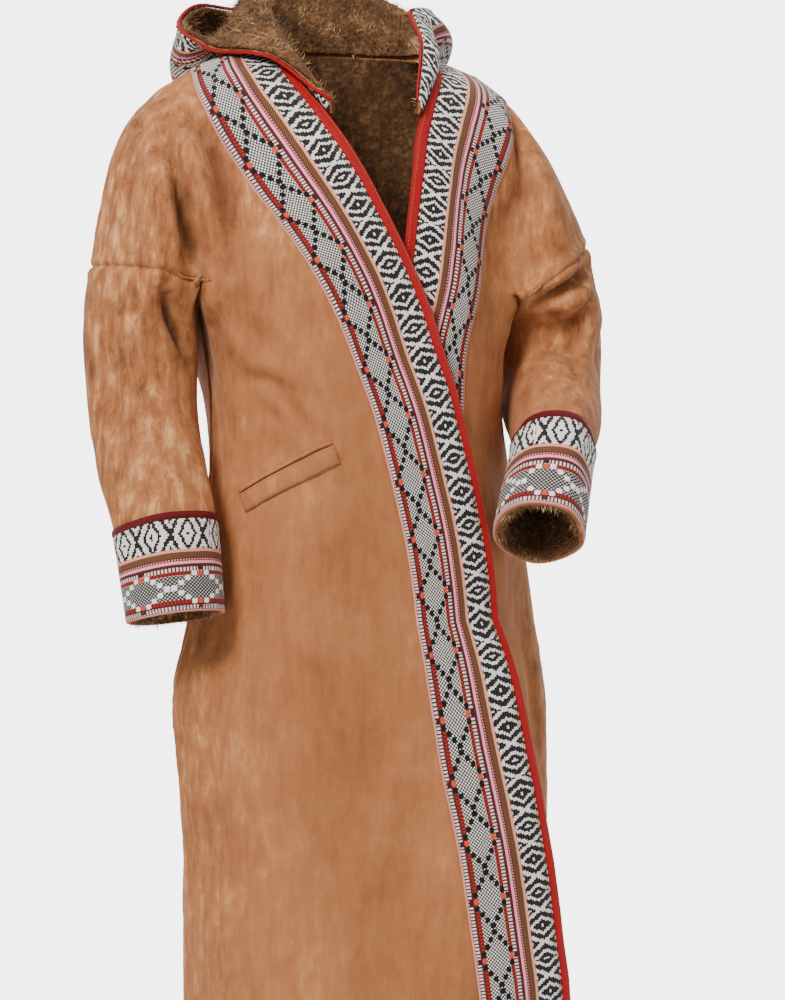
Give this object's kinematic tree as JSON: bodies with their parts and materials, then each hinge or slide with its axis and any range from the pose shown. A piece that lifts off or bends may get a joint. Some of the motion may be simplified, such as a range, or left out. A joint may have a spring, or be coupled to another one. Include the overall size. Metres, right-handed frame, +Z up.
{
  "type": "farwa coat",
  "caption": "Long hooded winter coat of tan faux suede over fur pile, worn form, lapped front with woven bands and red braid, banded cuffs, pocket and fur-lined hood.",
  "frame": {"origin": "the point between the shoulder seams where the collar rests on the wearer", "axes": "+Z up to the collar, -Y the way the fronts face, -X the wearer's right"},
  "size_m": [0.5772, 0.4301, 1.4478],
  "materials": {
    "suede": "matt brushed faux suede with a mottled nap",
    "woven_wool": "matt patterned wool weave in black, white, grey, red and brown",
    "red_braid": "matt ribbed braid",
    "dark_braid": "matt ribbed braid",
    "fur": "dense mottled brown fur pile"
  },
  "bodies": {
    "root": {"back": "suede", "front_right": "suede", "front_left": "suede", "sleeve_right": "suede", "sleeve_left": "suede", "front_band_right": "woven_wool", "front_band_left": "woven_wool", "front_braid_right": "red_braid", "front_braid_left": "red_braid", "cuff_braid_right": "dark_braid", "cuff_braid_left": "dark_braid", "cuff_band_right": "woven_wool", "cuff_band_left": "woven_wool", "cuff_fur_right": "fur", "cuff_fur_left": "fur", "pocket_welt_right": "suede", "pocket_lip_right": "suede", "hood_shell": "suede", "hood_fur": "fur", "hood_band": "woven_wool", "hood_piping": "red_braid"}
  },
  "joints": []
}
